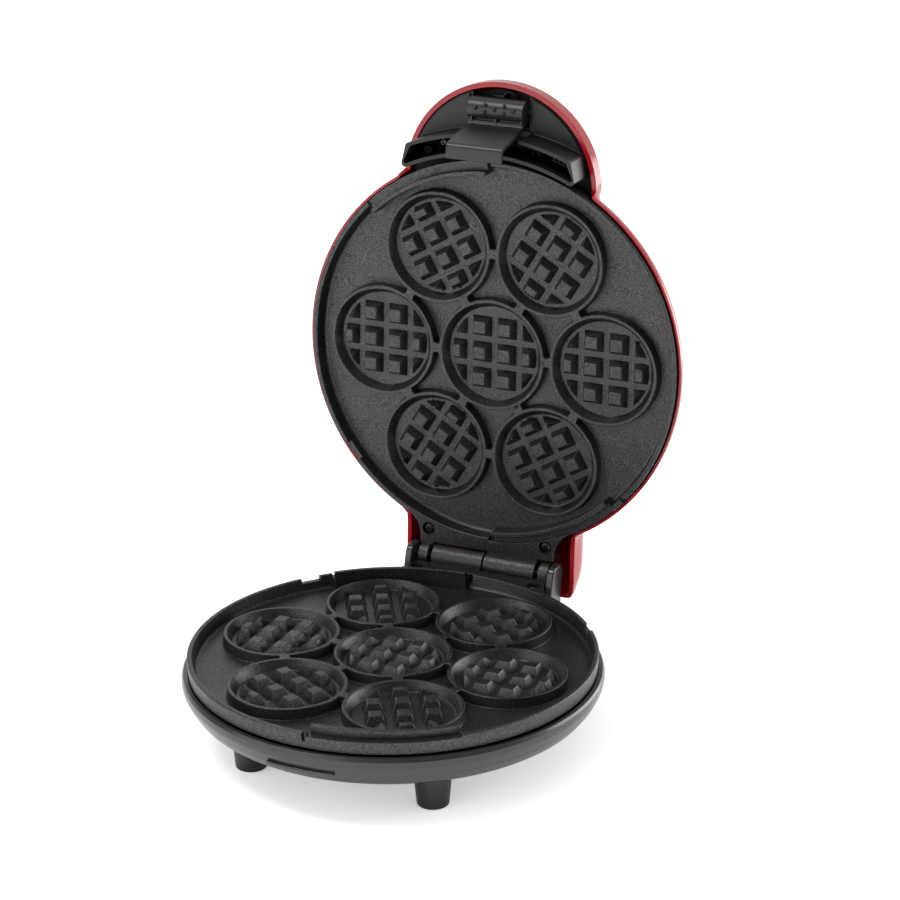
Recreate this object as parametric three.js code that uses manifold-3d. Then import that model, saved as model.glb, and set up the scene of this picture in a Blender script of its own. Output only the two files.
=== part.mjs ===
// Waffle bite maker: a round clamshell cooker with seven small waffle cups in each hot plate.
// Millimetres, +Z up, +X to the right, the hinge at the back (+Y), feet on z = 0.
// Pieces are drawn in the plate frame: the plate's centre is x = y = 0 and the plane where
// the closed plates meet is z = 0. The lid is drawn closed and then opened about the hinge pin.

import * as THREE from 'three';
import { mergeVertices } from 'three/addons/utils/BufferGeometryUtils.js';
import Module from 'manifold-3d';

const wasm = await Module();
wasm.setup();

// Driving dimensions

const PLATE_R = 104; // outer radius of the hot plates
const PARTING_HEIGHT = 48; // from the table up to the plane where the plates meet
const HINGE_Y = 116.5; // hinge axis behind the plate's centre
const HINGE_Z = 0.75; // hinge axis above the plane where the plates meet
const LID_OPEN = 93; // degrees the lid stands open in this model
const CUPS_ROUND = 6; // cups around the middle one
const CUP_PITCH_R = 63.2; // from the plate's centre to an outer cup's centre
const GAP = 0.3; // clearance left between pieces that touch

const PLATE_TOP = -GAP / 2; // rim of the lower casting
const PAN_FLOOR = -7.2; // pan between the rim and the rings
const PLATE_BACK = -9.8;
const SKIRT_BOTTOM = -8.2;
const RIM_INNER_R = PLATE_R - 2.6;

const RING_TOP = -1.5; // ring round each cup
const RING_OUTER_R = 29.9;
const RING_INNER_R = 28.3;
const CUP_FLOOR_R = 25.6;
const CUP_FLOOR = -6.6;

const PEG_PITCH = 14.1; // pegs that press the waffle's pockets
const PEG_BASE = 11.3;
const PEG_TOP_SIDE = 6.3;
const PEG_TOP = -1.6;
const PEG_EDGE_R = 24.6; // circle that trims the outer pegs

const TONGUE_INNER_R = 96.8; // arc tongues that centre the lid on the base
const TONGUE_OUTER_R = 99.3;
const TONGUE_TOP = 2.6;
const LAND_TOP = -1.7;
const TONGUE_START = 46; // degrees from the X axis to the tongue's outer end
const TONGUE_END = 88;
const VENT_START = 138; // steam notch in the rim, degrees
const VENT_END = 144;

const TAB_HALF_X = 38.9; // hinge tab of each casting
const TAB_END_Y = 106.3;
const TAB_FILLET = 14;
const BARREL_R = 6.5;
const BORE_R = 2.35;
const PIN_R = 2;
const BARREL = [-29.8, -0.6]; // x range of a casting's long knuckle
const LUG = [30.8, 38.9]; // x range of its short knuckle's root
const EYE = [32.4, 37.6]; // and of the eye that goes round the pin
const HINGE_SCREW = [34, 101.5];

const WALL = 2.3; // moulded wall thickness
const BASE_TOP = -9; // rim of the base housing
const BASE_BOTTOM = -27;
const REAR_HALF_X = 43.3; // rear box of the base housing
const REAR_Y = 118.6;
const CHEEK = [39.3, 43.3]; // x range of the hinge cheeks
const CATCH = { halfX: 18, y: -107.3, top: -17.2, bottom: -20 };

const LID_EDGE = 3; // open edge of the lid housing
const LID_CROWN = 34;
const HANDLE_EDGE = 9; // open edge of the handle bulge
const HANDLE_Y = -90; // centre of the round handle bulge
const HANDLE_R = 54.1;
const HOOD_HALF_X = 49; // hood over the hinge
const HOOD_END_Y = 130;
const HOOD_EDGE = 5;

const POST_SEAT = 8.8; // lid's screw posts, just behind its hot plate
const LENS_Y = -58; // indicator lamp on top of the lid

const INSERT_BACK = 11.8; // black insert inside the handle bulge
const INSERT_FACE = 9.3;
const PANEL_FACE = 8;
const POCKET_BACK = 17.5; // closed pocket behind the latch
const COLLAR_FRONT = -8;
const COLLAR_INNER_R = 108.3;
const COLLAR_OUTER_R = 120;
const COLLAR_WALL = 1.9;
const LATCH_SLOT_HALF_X = 17.3;

const LATCH_HALF_X = 15.5;
const LATCH_PIVOT = [-130, 11.2]; // y and z of the latch pin
const GRIP_Z = 6.4; // middle of the rounded grip, in front of the pin
const GRIP_R = 6.5;
const LATCH_WALL = 2.2;
const LATCH_PIN_R = 1.4;

const FOOT_FRONT = [50, -61];
const FOOT_REAR = [30, 92];
const FOOT_TOP_R = 9.6;
const FOOT_BOTTOM_R = 8;

const HEATER_LOOP_R = 66;
const HEATER_TUBE_R = 3.4;
const HEATER_Z = PLATE_BACK - GAP - HEATER_TUBE_R;

const BIG = 32; // facets round the housings and plates
const BULGE = 28; // facets round the handle bulge
const CUP = 14; // facets round the cups
const SMALL = 10; // facets round pins, bosses and feet

const RAD = Math.PI / 180;

// Solids from three.js geometries

function toSolid(geometry) {
  const plain = geometry.index ? geometry.clone() : mergeVertices(geometry.clone());
  plain.deleteAttribute('normal');
  plain.deleteAttribute('uv');
  const merged = mergeVertices(plain, 1e-4);
  const position = merged.attributes.position;
  const faces = [];
  for (let i = 0; i < merged.index.count; i += 3) {
    const [a, b, c] = [0, 1, 2].map((k) => merged.index.getX(i + k));
    if (a !== b && b !== c && c !== a) faces.push([a, b, c]);
  }
  const corner = (i) => new THREE.Vector3().fromBufferAttribute(position, i);
  const volume = faces.reduce((sum, [a, b, c]) => sum + corner(a).dot(corner(b).cross(corner(c))), 0);
  const outward = volume > 0 ? faces : faces.map(([a, b, c]) => [a, c, b]);
  return new wasm.Manifold(new wasm.Mesh({
    numProp: 3,
    vertProperties: new Float32Array(position.array),
    triVerts: new Uint32Array(outward.flat()),
  }));
}

function toGeometry(solid) {
  const mesh = solid.simplify(0.03).getMesh();
  const geometry = new THREE.BufferGeometry();
  geometry.setAttribute('position', new THREE.BufferAttribute(mesh.vertProperties, 3));
  geometry.setIndex(new THREE.BufferAttribute(mesh.triVerts, 1));
  const faceted = geometry.toNonIndexed();
  faceted.computeVertexNormals();
  return faceted;
}

const join = (...solids) => solids.reduce((sum, solid) => sum.add(solid));
const cut = (solid, ...tools) => tools.reduce((rest, tool) => rest.subtract(tool), solid);

// A profile of [radius, height] points turned about a vertical axis through x, y.
function turned(profile, facets, x = 0, y = 0) {
  const points = profile.map(([radius, height]) => new THREE.Vector2(radius, height));
  const geometry = new THREE.LatheGeometry(points, facets);
  geometry.rotateX(Math.PI / 2);
  geometry.translate(x, y, 0);
  return toSolid(geometry);
}

// A shape in the XY plane pulled up from z0 to z1.
function prism(shape, z0, z1, curveSegments = 12) {
  const geometry = new THREE.ExtrudeGeometry(shape, {
    depth: z1 - z0,
    bevelEnabled: false,
    curveSegments,
  });
  geometry.translate(0, 0, z0);
  return toSolid(geometry);
}

// A shape drawn as (y, z) pulled along X from x0 to x1.
function sidePrism(shape, x0, x1, curveSegments = 12) {
  const geometry = new THREE.ExtrudeGeometry(shape, {
    depth: x1 - x0,
    bevelEnabled: false,
    curveSegments,
  });
  geometry.rotateX(Math.PI / 2);
  geometry.rotateZ(Math.PI / 2);
  geometry.translate(x0, 0, 0);
  return toSolid(geometry);
}

function box(x0, x1, y0, y1, z0, z1) {
  const geometry = new THREE.BoxGeometry(x1 - x0, y1 - y0, z1 - z0);
  geometry.translate((x0 + x1) / 2, (y0 + y1) / 2, (z0 + z1) / 2);
  return toSolid(geometry);
}

function upright(radius, z0, z1, x, y, facets = SMALL) {
  return turned([[0, z0], [radius, z0], [radius, z1], [0, z1]], facets, x, y);
}

// A cylinder along X about the point y, z.
function crosswise(radius, x0, x1, y, z, facets = SMALL) {
  const geometry = new THREE.CylinderGeometry(radius, radius, x1 - x0, facets);
  geometry.rotateZ(Math.PI / 2);
  geometry.translate((x0 + x1) / 2, y, z);
  return toSolid(geometry);
}

// A slab between two radii and two angles in degrees.
function sector(inner, outer, from, to, z0, z1, curveSegments = 5) {
  const shape = new THREE.Shape();
  shape.absarc(0, 0, outer, from * RAD, to * RAD, false);
  shape.absarc(0, 0, inner, to * RAD, from * RAD, true);
  return prism(shape, z0, z1, curveSegments);
}

function circle(radius, x, y) {
  const shape = new THREE.Shape();
  shape.absarc(x, y, radius, 0, 2 * Math.PI, false);
  return shape;
}

function outline(points) {
  return new THREE.Shape(points.map(([x, y]) => new THREE.Vector2(x, y)));
}

// Hot plate: one aluminium casting, used below as drawn and above turned over about Y

function panAndRim() {
  return turned([
    [0, PLATE_BACK],
    [PLATE_R - 4.2, PLATE_BACK],
    [PLATE_R - 3.2, SKIRT_BOTTOM],
    [PLATE_R - 0.5, SKIRT_BOTTOM],
    [PLATE_R, PLATE_TOP - 0.8],
    [PLATE_R - 0.7, PLATE_TOP],
    [RIM_INNER_R, PLATE_TOP],
    [RIM_INNER_R - 2, PAN_FLOOR],
    [0, PAN_FLOOR],
  ], BIG);
}

function pegs() {
  const height = PEG_TOP - CUP_FLOOR + 0.4;
  const diagonal = Math.SQRT1_2;
  const grid = [];
  for (const column of [-1.5, -0.5, 0.5, 1.5]) {
    for (const row of [-1, 0, 1]) {
      const peg = new THREE.CylinderGeometry(PEG_TOP_SIDE * diagonal, PEG_BASE * diagonal, height, 4);
      peg.rotateX(Math.PI / 2);
      peg.rotateZ(Math.PI / 4);
      peg.translate(column * PEG_PITCH, row * PEG_PITCH, PEG_TOP - height / 2);
      grid.push(toSolid(peg));
    }
  }
  const trim = turned([
    [0, CUP_FLOOR - 1],
    [PEG_EDGE_R, CUP_FLOOR - 1],
    [PEG_EDGE_R, CUP_FLOOR],
    [PEG_EDGE_R - 2.7, PEG_TOP + 1],
    [0, PEG_TOP + 1],
  ], 12);
  return join(...grid).intersect(trim.rotate([0, 0, 15]));
}

function waffleCup() {
  const dish = turned([
    [0, PAN_FLOOR - 1],
    [RING_OUTER_R + 0.5, PAN_FLOOR - 1],
    [RING_OUTER_R + 0.5, PAN_FLOOR],
    [RING_OUTER_R, RING_TOP],
    [RING_INNER_R, RING_TOP],
    [CUP_FLOOR_R, CUP_FLOOR],
    [0, CUP_FLOOR],
  ], CUP);
  return join(dish, pegs());
}

function cupCentres() {
  const centres = [{ x: 0, y: 0, turn: 0 }];
  for (let i = 0; i < CUPS_ROUND; i += 1) {
    const turn = (360 / CUPS_ROUND) * i;
    centres.push({
      x: CUP_PITCH_R * Math.cos(turn * RAD),
      y: CUP_PITCH_R * Math.sin(turn * RAD),
      turn,
    });
  }
  return centres;
}

// Short channels' walls join each ring to its neighbours at the height of the ring.
function bridges(centres) {
  const solids = [];
  const half = 2.4;
  centres.forEach((a, i) => centres.slice(i + 1).forEach((b) => {
    const distance = Math.hypot(a.x - b.x, a.y - b.y);
    if (distance > CUP_PITCH_R * 1.1) return;
    const angle = Math.atan2(b.y - a.y, b.x - a.x) / RAD;
    const bridge = box(-half, half, -half, half, PAN_FLOOR - 1, RING_TOP);
    solids.push(bridge.rotate([0, 0, angle]).translate([(a.x + b.x) / 2, (a.y + b.y) / 2, 0]));
  }));
  return solids;
}

function hingeTab() {
  const centreX = TAB_HALF_X + TAB_FILLET;
  const centreY = Math.sqrt((PLATE_R + TAB_FILLET) ** 2 - centreX ** 2);
  const share = PLATE_R / (PLATE_R + TAB_FILLET);
  const rimX = centreX * share;
  const rimY = centreY * share;
  const toRim = Math.atan2(rimY - centreY, rimX - centreX);
  const shape = new THREE.Shape();
  shape.moveTo(-rimX, rimY - 2);
  shape.lineTo(rimX, rimY - 2);
  shape.lineTo(rimX, rimY);
  shape.absarc(centreX, centreY, TAB_FILLET, toRim, -Math.PI, true);
  shape.lineTo(TAB_HALF_X, TAB_END_Y);
  shape.lineTo(-TAB_HALF_X, TAB_END_Y);
  shape.absarc(-centreX, centreY, TAB_FILLET, 0, Math.PI - toRim, true);
  const ring = upright(PLATE_R - 1, SKIRT_BOTTOM - 1, PLATE_TOP + 1, 0, 0, BIG);
  return prism(shape, SKIRT_BOTTOM, PLATE_TOP, 4).subtract(ring);
}

function knuckle([x0, x1], hingeZ) {
  const arm = box(x0, x1, TAB_END_Y - 2, HINGE_Y, hingeZ - BARREL_R, PLATE_TOP);
  return arm.add(crosswise(BARREL_R, x0, x1, HINGE_Y, hingeZ, 14));
}

function castPlate(hingeZ) {
  const centres = cupCentres();
  const cup = waffleCup();
  const cups = centres.map(({ x, y, turn }) => cup.rotate([0, 0, turn]).translate([x, y, 0]));
  let plate = join(panAndRim(), ...bridges(centres));
  const bowls = centres.map(({ x, y }) => upright(RING_INNER_R - 0.3, CUP_FLOOR - 0.3, 1, x, y, CUP));
  plate = join(cut(plate, ...bowls), ...cups);

  // Two tongues stand half a turn apart, each on a land cut down from the rim.
  for (const from of [-TONGUE_END, 180 - TONGUE_END]) {
    const to = from + TONGUE_END - TONGUE_START;
    const lowered = sector(TONGUE_OUTER_R, PLATE_R + 1, from, to, LAND_TOP, 1);
    const land = sector(TONGUE_OUTER_R - 1, RIM_INNER_R + 0.5, from, to, PLATE_BACK + 0.5, LAND_TOP);
    const tongue = sector(TONGUE_INNER_R, TONGUE_OUTER_R, from, to, PAN_FLOOR - 1, TONGUE_TOP);
    const keyway = sector(TONGUE_OUTER_R, PLATE_R + 1, from - 2.4, from - 0.2, -4.6, 1, 2);
    plate = cut(join(cut(plate, lowered), land, tongue), keyway);
  }
  const vents = [VENT_START, 180 - VENT_END].map((from) => (
    sector(RIM_INNER_R - 3, PLATE_R + 1, from, from + VENT_END - VENT_START, -2.6, 1, 2)));
  plate = cut(plate, ...vents);

  const root = cut(knuckle(LUG, hingeZ), box(0, 60, HINGE_Y - 5, 140, -20, 20));
  plate = join(plate, hingeTab(), knuckle(BARREL, hingeZ), root, knuckle(EYE, hingeZ));
  const bore = crosswise(BORE_R, -TAB_HALF_X - 1, TAB_HALF_X + 1, HINGE_Y, hingeZ, SMALL);
  const [screwX, screwY] = HINGE_SCREW;
  const screwHoles = [-screwX, screwX].flatMap((x) => [
    upright(3.6, -2.7, 1, x, screwY),
    upright(1.8, SKIRT_BOTTOM - 1, 0, x, screwY),
  ]);
  return cut(plate, bore, ...screwHoles);
}

// Base housing: a shallow bowl with a rear box and two cheeks round the hinge's ends

function baseBowl() {
  return turned([
    [0, BASE_TOP],
    [PLATE_R + 2.2, BASE_TOP],
    [PLATE_R + 3.1, BASE_TOP - 1.8],
    [PLATE_R + 3.1, BASE_TOP - 3.4],
    [PLATE_R + 2.3, BASE_TOP - 7],
    [PLATE_R + 0.3, BASE_TOP - 11],
    [PLATE_R - 2.6, BASE_TOP - 15],
    [PLATE_R - 7, BASE_BOTTOM],
    [0, BASE_BOTTOM],
  ], BIG);
}

function baseHollow() {
  return turned([
    [0, BASE_BOTTOM + WALL],
    [PLATE_R - 7.8, BASE_BOTTOM + WALL],
    [PLATE_R - 2.6, BASE_TOP - 11],
    [PLATE_R, BASE_TOP - 6],
    [PLATE_R + 0.6, BASE_TOP - 3],
    [PLATE_R, BASE_TOP - 1.4],
    [PLATE_R, BASE_TOP + 1],
    [0, BASE_TOP + 1],
  ], BIG);
}

function rearBox(inset, top, bottom) {
  const side = REAR_HALF_X - inset;
  const back = REAR_Y - inset;
  const corner = 2.4;
  const shape = outline([
    [-side, 82], [side, 82], [side, back - corner], [side - corner, back],
    [corner - side, back], [-side, back - corner],
  ]);
  return prism(shape, bottom, top);
}

function cheekShape() {
  const shape = new THREE.Shape();
  shape.moveTo(99, BASE_TOP - 4);
  shape.lineTo(102, BASE_TOP);
  shape.lineTo(105.2, 2.2);
  shape.quadraticCurveTo(107, 7.7, 113.4, 8.05);
  shape.lineTo(116.8, 8.05);
  shape.quadraticCurveTo(120.8, 7.8, 120.1, 4.6);
  shape.lineTo(117, BASE_TOP);
  shape.lineTo(117, BASE_TOP - 4);
  shape.closePath();
  return shape;
}

function baseShell() {
  const [screwX, screwY] = HINGE_SCREW;
  const cheeks = [CHEEK, [-CHEEK[1], -CHEEK[0]]].map(([x0, x1]) => sidePrism(cheekShape(), x0, x1, 5));
  const outside = join(baseBowl(), rearBox(0, BASE_TOP, BASE_BOTTOM), ...cheeks,
    box(-CATCH.halfX, CATCH.halfX, CATCH.y, -PLATE_R + 6, CATCH.bottom, CATCH.top));
  const inside = join(baseHollow(), rearBox(WALL, BASE_TOP - WALL, BASE_BOTTOM + WALL));
  const posts = [-screwX, screwX].map((x) => upright(4.2, BASE_BOTTOM + 1.5, BASE_TOP, x, screwY));
  const postBores = [-screwX, screwX].map((x) => upright(1.6, BASE_TOP - 12, BASE_TOP + 1, x, screwY));
  const footHoles = footPlaces().map(([x, y]) => upright(4.4, BASE_BOTTOM - 1, BASE_BOTTOM + 4, x, y));
  const glandHole = toSolid(new THREE.CylinderGeometry(4.4, 4.4, 12, SMALL)
    .translate(0, REAR_Y - 2, -19.5));
  const slots = [-12, 0, 12].flatMap((y) => [-1, 1].map((side) => (
    box(side * 34 - 13, side * 34 + 13, y - 1.5, y + 1.5, BASE_BOTTOM - 1, BASE_BOTTOM + WALL + 1))));
  return cut(join(cut(outside, inside), ...posts), ...postBores, ...footHoles, glandHole, ...slots);
}

function footPlaces() {
  return [FOOT_FRONT, FOOT_REAR].flatMap(([x, y]) => [[-x, y], [x, y]]);
}

function foot(x, y) {
  return turned([
    [0, -PARTING_HEIGHT],
    [FOOT_BOTTOM_R - 0.8, -PARTING_HEIGHT],
    [FOOT_BOTTOM_R, -PARTING_HEIGHT + 1],
    [FOOT_TOP_R, BASE_BOTTOM - GAP],
    [4.1, BASE_BOTTOM - GAP],
    [4.1, BASE_BOTTOM + WALL + 1.5],
    [0, BASE_BOTTOM + WALL + 1.5],
  ], SMALL, x, y);
}

function cordGland() {
  const profile = [[2.6, -4], [6, -4], [6, 0], [4.1, 0], [4.1, 4.6], [5, 5.2], [5, 6.4], [2.6, 6.4], [2.6, -4]];
  const points = profile.map(([radius, height]) => new THREE.Vector2(radius, height));
  const geometry = new THREE.LatheGeometry(points, SMALL);
  geometry.rotateX(Math.PI);
  geometry.translate(0, REAR_Y + GAP, -19.5);
  return toSolid(geometry);
}

// Heating parts between each plate and its housing

function heaterLoop() {
  const path = new THREE.CurvePath();
  const bend = 22 * RAD;
  const start = 90 * RAD + bend;
  const end = 90 * RAD - bend + 2 * Math.PI;
  const steps = 36;
  const points = [];
  for (let i = 0; i <= steps; i += 1) {
    const angle = start + ((end - start) * i) / steps;
    points.push(new THREE.Vector3(HEATER_LOOP_R * Math.cos(angle), HEATER_LOOP_R * Math.sin(angle), HEATER_Z));
  }
  const inner = (side) => new THREE.Vector3(side * 14, 40, HEATER_Z);
  const curve = new THREE.CatmullRomCurve3([inner(-1), ...points, inner(1)], false, 'centripetal');
  path.add(curve);
  const tube = new THREE.ExtrudeGeometry(circle(HEATER_TUBE_R, 0, 0), {
    steps: 24,
    curveSegments: 3,
    bevelEnabled: false,
    extrudePath: curve,
  });
  return toSolid(tube);
}

function heatShield() {
  const top = HEATER_Z - HEATER_TUBE_R - 0.8;
  return turned([
    [0, top - 0.8],
    [86.6, top - 0.8],
    [90, top + 2.4],
    [89.2, top + 2.4],
    [86.2, top],
    [0, top],
  ], BULGE);
}

function thermostat() {
  const body = upright(8.5, PLATE_BACK - 6.5, PLATE_BACK - GAP, 0, -20, SMALL);
  const blades = box(-9.5, 9.5, -22, -18, PLATE_BACK - 7.3, PLATE_BACK - 6);
  return join(body, blades);
}

function thermalFuse() {
  const sleeve = crosswise(2.6, -9, 9, 22, PLATE_BACK - GAP - 2.8, 10);
  const leads = crosswise(0.8, -13, 13, 22, PLATE_BACK - GAP - 2.8, 8);
  return join(sleeve, leads);
}

// Cross-recessed screw that stands in a counterbore, head up at z = top
function screw(x, y, top, tip) {
  const body = turned([
    [0, tip],
    [1.3, tip + 1.6],
    [1.3, top - 1.9],
    [2.9, top - 1.9],
    [2.9, top - 0.8],
    [0, top],
  ], 8, x, y);
  const slots = [0, 90].map((turn) => box(-1.6, 1.6, -0.35, 0.35, -1, 1)
    .rotate([0, 0, turn + 30]).translate([x, y, top + 0.1]));
  return cut(body, ...slots);
}

// Lid housing: a shallow red dome with a round handle bulge in front and a hood over the hinge

function domeOutside() {
  return turned([
    [0, LID_EDGE],
    [PLATE_R + 2, LID_EDGE],
    [PLATE_R + 1.9, 6],
    [PLATE_R + 0.7, 9],
    [PLATE_R - 1.7, 14],
    [PLATE_R - 5.3, 20],
    [PLATE_R - 9.5, 24.2],
    [PLATE_R - 24, 29.2],
    [PLATE_R - 54, LID_CROWN - 1],
    [0, LID_CROWN],
  ], BIG);
}

function domeInside() {
  return turned([
    [0, LID_EDGE - 3],
    [PLATE_R + 0.6, LID_EDGE - 3],
    [PLATE_R + 0.4, 6],
    [PLATE_R - 0.2, 8.6],
    [PLATE_R - 7.6, 19.2],
    [PLATE_R - 25, 27],
    [0, LID_CROWN - WALL],
  ], BIG);
}

function bulgeSolid(inset, front) {
  const r = HANDLE_R - inset;
  const crown = LID_CROWN - 3 - inset;
  return turned([
    [0, front],
    [r, front],
    [r, 12.4],
    [r - 1.5, 17.5],
    [r - 3.4, 21.4],
    [r - 7.3, crown - 5],
    [r - 15.8, crown - 2],
    [r - 31.8, crown - 0.6],
    [0, crown],
  ], BULGE, 0, HANDLE_Y);
}

function hoodSolid(inset, front) {
  const end = HOOD_END_Y - inset;
  const half = HOOD_HALF_X - inset;
  const crown = LID_CROWN - 3.4 - inset;
  const side = new THREE.Shape();
  side.moveTo(50, front);
  side.lineTo(end, front);
  side.lineTo(end, 7);
  side.lineTo(end - 5.6, 15);
  side.quadraticCurveTo(end - 12, crown - 5, end - 26, crown - 2.6);
  side.quadraticCurveTo(end - 44, crown - 0.4, 50, crown);
  side.closePath();
  const face = new THREE.Shape();
  face.moveTo(-half, front);
  face.lineTo(half, front);
  face.lineTo(half, 13);
  face.quadraticCurveTo(half - 0.6, crown - 5, half - 12, crown - 2.4);
  face.quadraticCurveTo(half - 26, crown, 0, crown);
  face.quadraticCurveTo(26 - half, crown, 12 - half, crown - 2.4);
  face.quadraticCurveTo(0.6 - half, crown - 5, -half, 13);
  face.closePath();
  const across = new THREE.ExtrudeGeometry(face, { depth: 90, bevelEnabled: false, curveSegments: 4 });
  across.rotateX(Math.PI / 2);
  across.translate(0, 135, 0);
  return sidePrism(side, -HOOD_HALF_X - 5, HOOD_HALF_X + 5, 6).intersect(toSolid(across));
}

function lidShell() {
  const outside = join(domeOutside(), bulgeSolid(0, HANDLE_EDGE), hoodSolid(0, HOOD_EDGE));
  const inside = join(domeInside(), bulgeSolid(WALL + 0.3, 0), hoodSolid(WALL, 0));
  const [screwX, screwY] = HINGE_SCREW;
  const posts = [-screwX, screwX].map((x) => upright(4.2, POST_SEAT, LID_CROWN, x, screwY));
  const insertPosts = insertScrewPlaces().map(([x, y]) => upright(3.4, INSERT_BACK + GAP, LID_CROWN, x, y));
  const bores = [
    ...[-screwX, screwX].map((x) => upright(1.6, POST_SEAT - 1, 21, x, screwY)),
    ...insertScrewPlaces().map(([x, y]) => upright(1.6, INSERT_BACK, 21, x, y)),
    upright(4.4, LID_CROWN - 12, LID_CROWN + 2, 0, LENS_Y, SMALL),
  ];
  const fittings = join(...posts, ...insertPosts).intersect(outside);
  return cut(join(cut(outside, inside), fittings), ...bores);
}


function indicatorLens() {
  return turned([
    [0, 26.5],
    [4.1, 26.5],
    [4.1, 33.2],
    [3.2, 33.9],
    [0, 34.3],
  ], SMALL, 0, LENS_Y);
}

function indicatorLamp() {
  return turned([[0, 19.6], [2.4, 19.6], [2.4, 24.6], [1.2, 26.1], [0, 26.1]], 12, 0, LENS_Y);
}

// Handle insert: a half-moon plate with two raised panels and a deep open collar along the plate

function insertScrewPlaces() {
  const radius = (COLLAR_INNER_R + COLLAR_OUTER_R) / 2;
  return [-1, 1].map((side) => [side * radius * Math.sin(16 * RAD), -radius * Math.cos(16 * RAD)]);
}

function collarShape(inset) {
  const outer = COLLAR_OUTER_R - inset;
  const inner = COLLAR_INNER_R + inset;
  const outerHalf = 22.6 - inset / 2;
  const innerHalf = 27.1 - inset / 2;
  const shape = new THREE.Shape();
  shape.absarc(0, 0, outer, (-90 - outerHalf) * RAD, (-90 + outerHalf) * RAD, false);
  shape.absarc(0, 0, inner, (-90 + innerHalf) * RAD, (-90 - innerHalf) * RAD, true);
  shape.closePath();
  return shape;
}

function handleInsert() {
  const innerR = HANDLE_R - WALL - 1.1;
  const keep = upright(innerR, INSERT_FACE - 2, INSERT_BACK, 0, HANDLE_Y, BULGE);
  const plateEdge = upright(PLATE_R + 2.2, -20, 20, 0, 0, BIG);
  const face = cut(keep, plateEdge, box(-60, 60, -200, 0, 0, INSERT_FACE));
  const panels = cut(upright(innerR - 0.4, PANEL_FACE, INSERT_FACE, 0, HANDLE_Y, BULGE),
    upright(COLLAR_OUTER_R + 0.8, -20, 20, 0, 0, BIG),
    box(-LATCH_SLOT_HALF_X, LATCH_SLOT_HALF_X, -200, 0, 0, 20));
  const outside = join(prism(collarShape(0), COLLAR_FRONT, HANDLE_EDGE - 0.4, 6),
    prism(collarShape(0), HANDLE_EDGE - 0.5, INSERT_FACE + 0.4, 6).intersect(keep));
  const collar = cut(outside, prism(collarShape(COLLAR_WALL), COLLAR_FRONT - 1, INSERT_FACE, 6));
  const [pivotY, pivotZ] = LATCH_PIVOT;
  const bosses = [[-19, -16.4], [16.4, 19]].map(([x0, x1]) => crosswise(3, x0, x1, pivotY, pivotZ));
  const pocket = box(-18, 18, pivotY - 12, pivotY + 10, INSERT_BACK - 0.5, POCKET_BACK)
    .intersect(upright(innerR - 1.7, 0, 30, 0, HANDLE_Y, BULGE));
  const slot = LATCH_SLOT_HALF_X;
  const window = join(
    box(-16, 16, pivotY - 14, pivotY + 8.4, 0, POCKET_BACK - 1.5),
    box(-slot, slot, pivotY - 8.2, -COLLAR_INNER_R - COLLAR_WALL, COLLAR_FRONT - 1, PANEL_FACE - 0.2),
  );
  const pinBore = crosswise(LATCH_PIN_R + GAP, -20, 20, pivotY, pivotZ, 12);
  const screwHoles = insertScrewPlaces().map(([x, y]) => upright(1.8, INSERT_FACE - 1, 13, x, y));
  const body = join(face, panels, collar, pocket, ...bosses);
  return cut(body, window, pinBore, ...screwHoles);
}

// Latch: a ribbed thumb grip on a pin, a long flap and a hook that catches under the base's ledge

function latchShape() {
  const [pivotY, pivotZ] = LATCH_PIVOT;
  const eye = 3.2;
  const shape = new THREE.Shape();
  shape.moveTo(pivotY + 5.4, GRIP_Z + 2.6);
  shape.lineTo(pivotY + eye, GRIP_Z + 2.6);
  shape.absarc(pivotY, pivotZ, eye, 0, Math.PI, false);
  shape.lineTo(pivotY - eye, GRIP_Z + 2.6);
  shape.lineTo(pivotY - 5.4, GRIP_Z + 2.6);
  shape.absarc(pivotY, GRIP_Z, GRIP_R, Math.PI - 0.05, Math.PI + 2.35, false);
  shape.lineTo(-123.2, 1.6);
  shape.lineTo(-117.6, -22.2);
  shape.quadraticCurveTo(-116.9, -25.2, -113.8, -25.3);
  shape.lineTo(-109.7, -25.1);
  shape.lineTo(-109.3, -23.05);
  shape.lineTo(-113.6, -23.05);
  shape.quadraticCurveTo(-115.1, -22.8, -115.4, -21.4);
  shape.lineTo(-121, 2.6);
  shape.lineTo(-122.4, 5.2);
  shape.closePath();
  const bore = new THREE.Path();
  bore.absarc(pivotY, pivotZ, LATCH_PIN_R + GAP, 0, 2 * Math.PI, true);
  shape.holes.push(bore);
  return shape;
}

function latch() {
  const [pivotY] = LATCH_PIVOT;
  const body = sidePrism(latchShape(), -LATCH_HALF_X, LATCH_HALF_X, 6);
  const dots = [];
  for (let i = 0; i < 5; i += 1) {
    const x = (i - 2) * 5.3;
    const tilts = i % 2 === 0 ? [-15] : [-32, 2];
    for (const tilt of tilts) {
      const dot = new THREE.SphereGeometry(1.1, 5, 3);
      const angle = (180 + 90 + tilt) * RAD;
      dot.translate(x, pivotY + GRIP_R * Math.cos(angle), GRIP_Z + GRIP_R * Math.sin(angle));
      dots.push(toSolid(dot));
    }
  }
  return join(body, ...dots);
}

// Materials

const finish = (color, roughness, metalness = 0) => (
  new THREE.MeshStandardMaterial({ color, roughness, metalness }));
const redGloss = finish(0xa3141d, 0.18);
const baseSatin = finish(0x3b3b3d, 0.42);
const blackPlastic = finish(0x232325, 0.35);
const nonstick = finish(0x2f2f31, 0.6, 0.2);
const steel = finish(0xb9bbbd, 0.3, 1);
const blackSteel = finish(0x2a2a2c, 0.45, 0.6);
const aluminium = finish(0xc4c6c8, 0.4, 1);
const rubber = finish(0x1f1f20, 0.8);
const amber = finish(0xd9531e, 0.2);
const ceramic = finish(0xe4e0d6, 0.6);

// Assembly

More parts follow.
